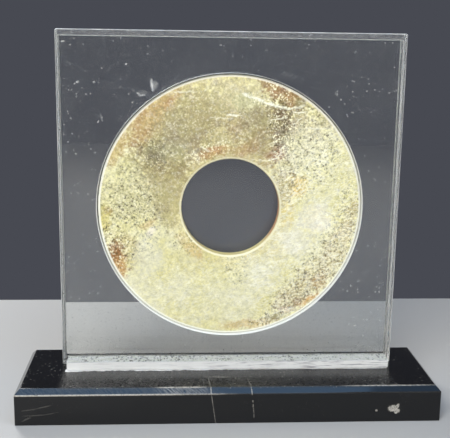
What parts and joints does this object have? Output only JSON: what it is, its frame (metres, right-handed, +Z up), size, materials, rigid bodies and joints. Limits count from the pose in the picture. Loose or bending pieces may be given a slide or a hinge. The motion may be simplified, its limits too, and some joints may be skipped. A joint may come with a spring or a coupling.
{
  "type": "jade bi disc in a clear acrylic stand",
  "caption": "Flat ring of mottled green jade standing on its rim in the round opening of a clear slab on a chamfered black base.",
  "frame": {"origin": "middle of the base's underside", "axes": "+X to the right along the base, +Y from the front to the back, +Z up"},
  "size_m": [0.311, 0.086, 0.2803],
  "materials": {
    "jade": "polished and mottled",
    "clear_acrylic": "clear and polished",
    "frosted_acrylic": "clear with a white glued underside",
    "black_acrylic": "high gloss"
  },
  "bodies": {
    "root": {"jade_disc": "jade", "clear_front_plate": "clear_acrylic", "clear_back_plate": "clear_acrylic", "clear_foot_bar": "frosted_acrylic", "black_base": "black_acrylic"}
  },
  "joints": []
}
